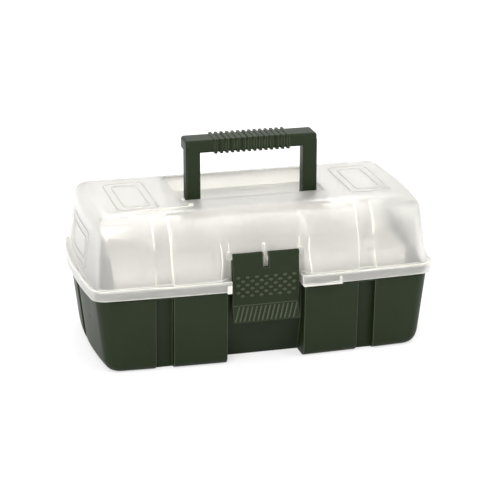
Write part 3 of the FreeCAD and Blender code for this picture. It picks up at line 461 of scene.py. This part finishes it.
# Its eased edges are drawn in the paler edge olive, a painted highlight.
dressed("front_latch", "latch_moulding", "latch", olive, olive_edge_highlight, latch_ease)
latch_middle = (latch_low[0] + latch_high[0]) / 2
dot_half_size = (0.0023, 0.0013, 0.0016)
dots_in_row = 7
dot_pitch = 0.009
dot_rows = 6
row_step = 0.0037
first_row_drop = 0.0229
top_row = latch_high[2] - first_row_drop
latch_skin = skin_of("front_latch")
forward = Vector((0, 1, 0))
dots = bmesh.new()
for row in range(dot_rows):
    count = dots_in_row - row % 2
    for place in range(count):
        across = latch_middle + dot_pitch * (place - (count - 1) / 2)
        height = top_row - row_step * row
        spot = point_on(latch_skin, (across, -outside, height), forward)
        dome = bmesh.ops.create_icosphere(dots, subdivisions=2, radius=1.0)["verts"]
        bmesh.ops.scale(dots, vec=dot_half_size, verts=dome)
        bmesh.ops.translate(dots, vec=spot, verts=dome)
# The domes are drawn in the paler edge olive, a painted highlight on them.
moulded_on(dots, "latch_dots", "latch", olive_edge_highlight)


# Lip ribs of the latch: slanted bars across its flared lower edge, which give fingers a
# hold when they pull it open. They are moulded with the latch in the same olive plastic,
# so both ends of each bar lie on its skin.
lip_ribs = 14
rib_pitch = 0.0043
rib_width = 0.0017
rib_depth = 0.0014
rib_ease = 0.0005
rib_bottom_lift = 0.0012
rib_top_lift = 0.0132
rib_bottom = latch_low[2] + rib_bottom_lift
rib_top = latch_low[2] + rib_top_lift
rib_lean = 0.005
ribs = bmesh.new()
for number in range(lip_ribs):
    middle = latch_middle + rib_pitch * (number - (lip_ribs - 1) / 2)
    bar = bmesh.ops.create_cube(ribs, size=1.0)["verts"]
    ends = []
    for height, shift in ((rib_bottom, -rib_lean / 2), (rib_top, rib_lean / 2)):
        ends.append(point_on(latch_skin, (middle + shift, -outside, height), forward))
    for vertex in bar:
        spot = ends[1] if vertex.co.z > 0 else ends[0]
        vertex.co = spot + Vector((vertex.co.x * rib_width, vertex.co.y * rib_depth, 0))
sides = [edge for edge in ribs.edges if edge.calc_length() > 3 * rib_width]
bmesh.ops.bevel(
    ribs,
    geom=sides,
    offset=rib_ease,
    affect="EDGES",
    segments=2,
    profile=0.5,
    material=-1,
)
# The bars are drawn in the paler edge olive, a painted highlight on them.
moulded_on(ribs, "latch_lip_ribs", "latch", olive_edge_highlight)


# Handle: a ribbed grip on two legs, one moulding of the same olive plastic as the tub.
# The stubs at the feet of its legs turn in bosses of the lid's pocket, into which it folds.
handle_ease = 0.0004
# Its eased edges are drawn in the paler edge olive, a painted highlight.
dressed(
    "carry_handle", "handle_moulding", "handle", olive, olive_edge_highlight, handle_ease
)


# Trays and dividers: two open trays with loose dividers that stand between pairs of small
# ribs. All are thin mouldings of natural polypropylene, milky and a little see-through.
natural = moulded(
    "natural_plastic",
    dark=(0.90, 0.892, 0.86),
    light=(0.93, 0.922, 0.89),
    gloss=0.36,
    scuffed=0.46,
    grain_depth=0.00003,
)
natural.node_tree.nodes["Principled BSDF"].inputs["Transmission Weight"].default_value = 0.25


def finished(part, skin):
    """Give a CAD node that stays as it is one material."""
    mesh = nodes[part["node"]].data
    mesh.materials.clear()
    mesh.materials.append(skin)


for part in frame["record"]["subparts"]:
    if part["material_slot"] == "tray_plastic":
        finished(part, natural)


# Arms and links: flat plates of olive plastic at both ends of the trays, with a hole for
# each pin. The arms carry the trays on the tub, and a link ties each front arm to the lid.
for part in frame["record"]["subparts"]:
    if part["node"].startswith(("front_arm", "rear_arm", "lid_link")):
        finished(part, olive)


# Pins: flat-headed pins of olive plastic, held in tub, lid, trays and front arms, on which
# arms and links turn, and the two steel wire pins of the rear hinge.
pin_skin = moulded(
    "pin_plastic",
    dark=(0.024, 0.034, 0.020),
    light=(0.030, 0.042, 0.025),
    gloss=0.34,
    scuffed=0.50,
    grain_depth=0.00003,
)
wire = moulded(
    "steel_wire",
    dark=(0.42, 0.42, 0.43),
    light=(0.56, 0.56, 0.57),
    gloss=0.28,
    scuffed=0.42,
    grain_depth=0.00001,
)
wire.node_tree.nodes["Principled BSDF"].inputs["Metallic"].default_value = 1.0
for part in frame["record"]["subparts"]:
    if part["material_slot"] == "pin_plastic":
        finished(part, pin_skin)
    elif part["material_slot"] == "steel":
        finished(part, wire)


# Studio: a plain white floor that fades into a white background, and three soft lamps,
# the strongest at the front left. The floor keeps a very faint shadow of the box.
floor_span = 12
floor_drop = 0.0002
floor_fade = 0.55
bpy.ops.mesh.primitive_plane_add(size=floor_span)
floor = bpy.context.object
floor.name = "floor"
floor.data.transform(Matrix.Translation((0, 0, -floor_drop)))
white = bpy.data.materials.new("studio_white")
white.use_nodes = True
plain = white.node_tree
plain.nodes["Principled BSDF"].inputs["Base Color"].default_value = (0.94, 0.94, 0.94, 1)
plain.nodes["Principled BSDF"].inputs["Roughness"].default_value = 0.9
clear_white = plain.nodes.new("ShaderNodeEmission")
camera_ray = plain.nodes.new("ShaderNodeLightPath")
washed = plain.nodes.new("ShaderNodeMath")
washed.operation = "MULTIPLY"
washed.inputs[1].default_value = floor_fade
blended = plain.nodes.new("ShaderNodeMixShader")
plain.links.new(camera_ray.outputs["Is Camera Ray"], washed.inputs[0])
plain.links.new(washed.outputs["Value"], blended.inputs["Fac"])
plain.links.new(plain.nodes["Principled BSDF"].outputs["BSDF"], blended.inputs[1])
plain.links.new(clear_white.outputs["Emission"], blended.inputs[2])
plain.links.new(blended.outputs["Shader"], plain.nodes["Material Output"].inputs["Surface"])
floor.data.materials.append(white)

lit_middle = Vector((0, 0, 0.08))
for spot, size, power in (
    ((-1.5, -2.2, 2.0), 1.8, 70.0),
    ((1.9, -1.4, 1.7), 1.6, 30.0),
    ((0.3, 1.6, 2.6), 2.4, 44.0),
):
    softbox = bpy.data.lights.new("softbox", "AREA")
    softbox.size = size
    softbox.energy = power
    lamp = bpy.data.objects.new("softbox", softbox)
    bpy.context.scene.collection.objects.link(lamp)
    lamp.location = spot
    lamp.rotation_euler = (lit_middle - Vector(spot)).to_track_quat("-Z", "Y").to_euler()

world = bpy.data.worlds.new("studio")
world.use_nodes = True
sky = world.node_tree
backdrop = sky.nodes["Background"]
rays = sky.nodes.new("ShaderNodeLightPath")
seen = sky.nodes.new("ShaderNodeMath")
seen.operation = "MAXIMUM"
seen_through = sky.nodes.new("ShaderNodeMath")
seen_through.operation = "MAXIMUM"
sky.links.new(rays.outputs["Is Camera Ray"], seen.inputs[0])
sky.links.new(rays.outputs["Is Glossy Ray"], seen.inputs[1])
sky.links.new(seen.outputs["Value"], seen_through.inputs[0])
sky.links.new(rays.outputs["Is Transmission Ray"], seen_through.inputs[1])
glow = sky.nodes.new("ShaderNodeMix")
glow.data_type = "RGBA"
glow.inputs["A"].default_value = (0.96, 0.96, 0.96, 1)
glow.inputs["B"].default_value = (1, 1, 1, 1)
sky.links.new(seen_through.outputs["Value"], glow.inputs["Factor"])
sky.links.new(glow.outputs["Result"], backdrop.inputs["Color"])
backdrop.inputs["Strength"].default_value = 1.0
bpy.context.scene.world = world
bpy.context.scene.view_settings.view_transform = "Standard"


# Camera: low and to the left of the latch, with a long lens, as in the photograph. It
# looks at the middle of the closed box.
turn = math.radians(-14.75)
rise = math.radians(18.93)
away = Vector((math.sin(turn) * math.cos(rise), -math.cos(turn) * math.cos(rise), math.sin(rise)))
aim = Vector((0.00506, 0.0, 0.083))
reach = 1.775
lens = bpy.data.cameras.new("camera")
lens.lens = 131.3
camera = bpy.data.objects.new("camera", lens)
bpy.context.scene.collection.objects.link(camera)
camera.location = aim + away * reach
camera.rotation_euler = (-away).to_track_quat("-Z", "Y").to_euler()
bpy.context.scene.camera = camera
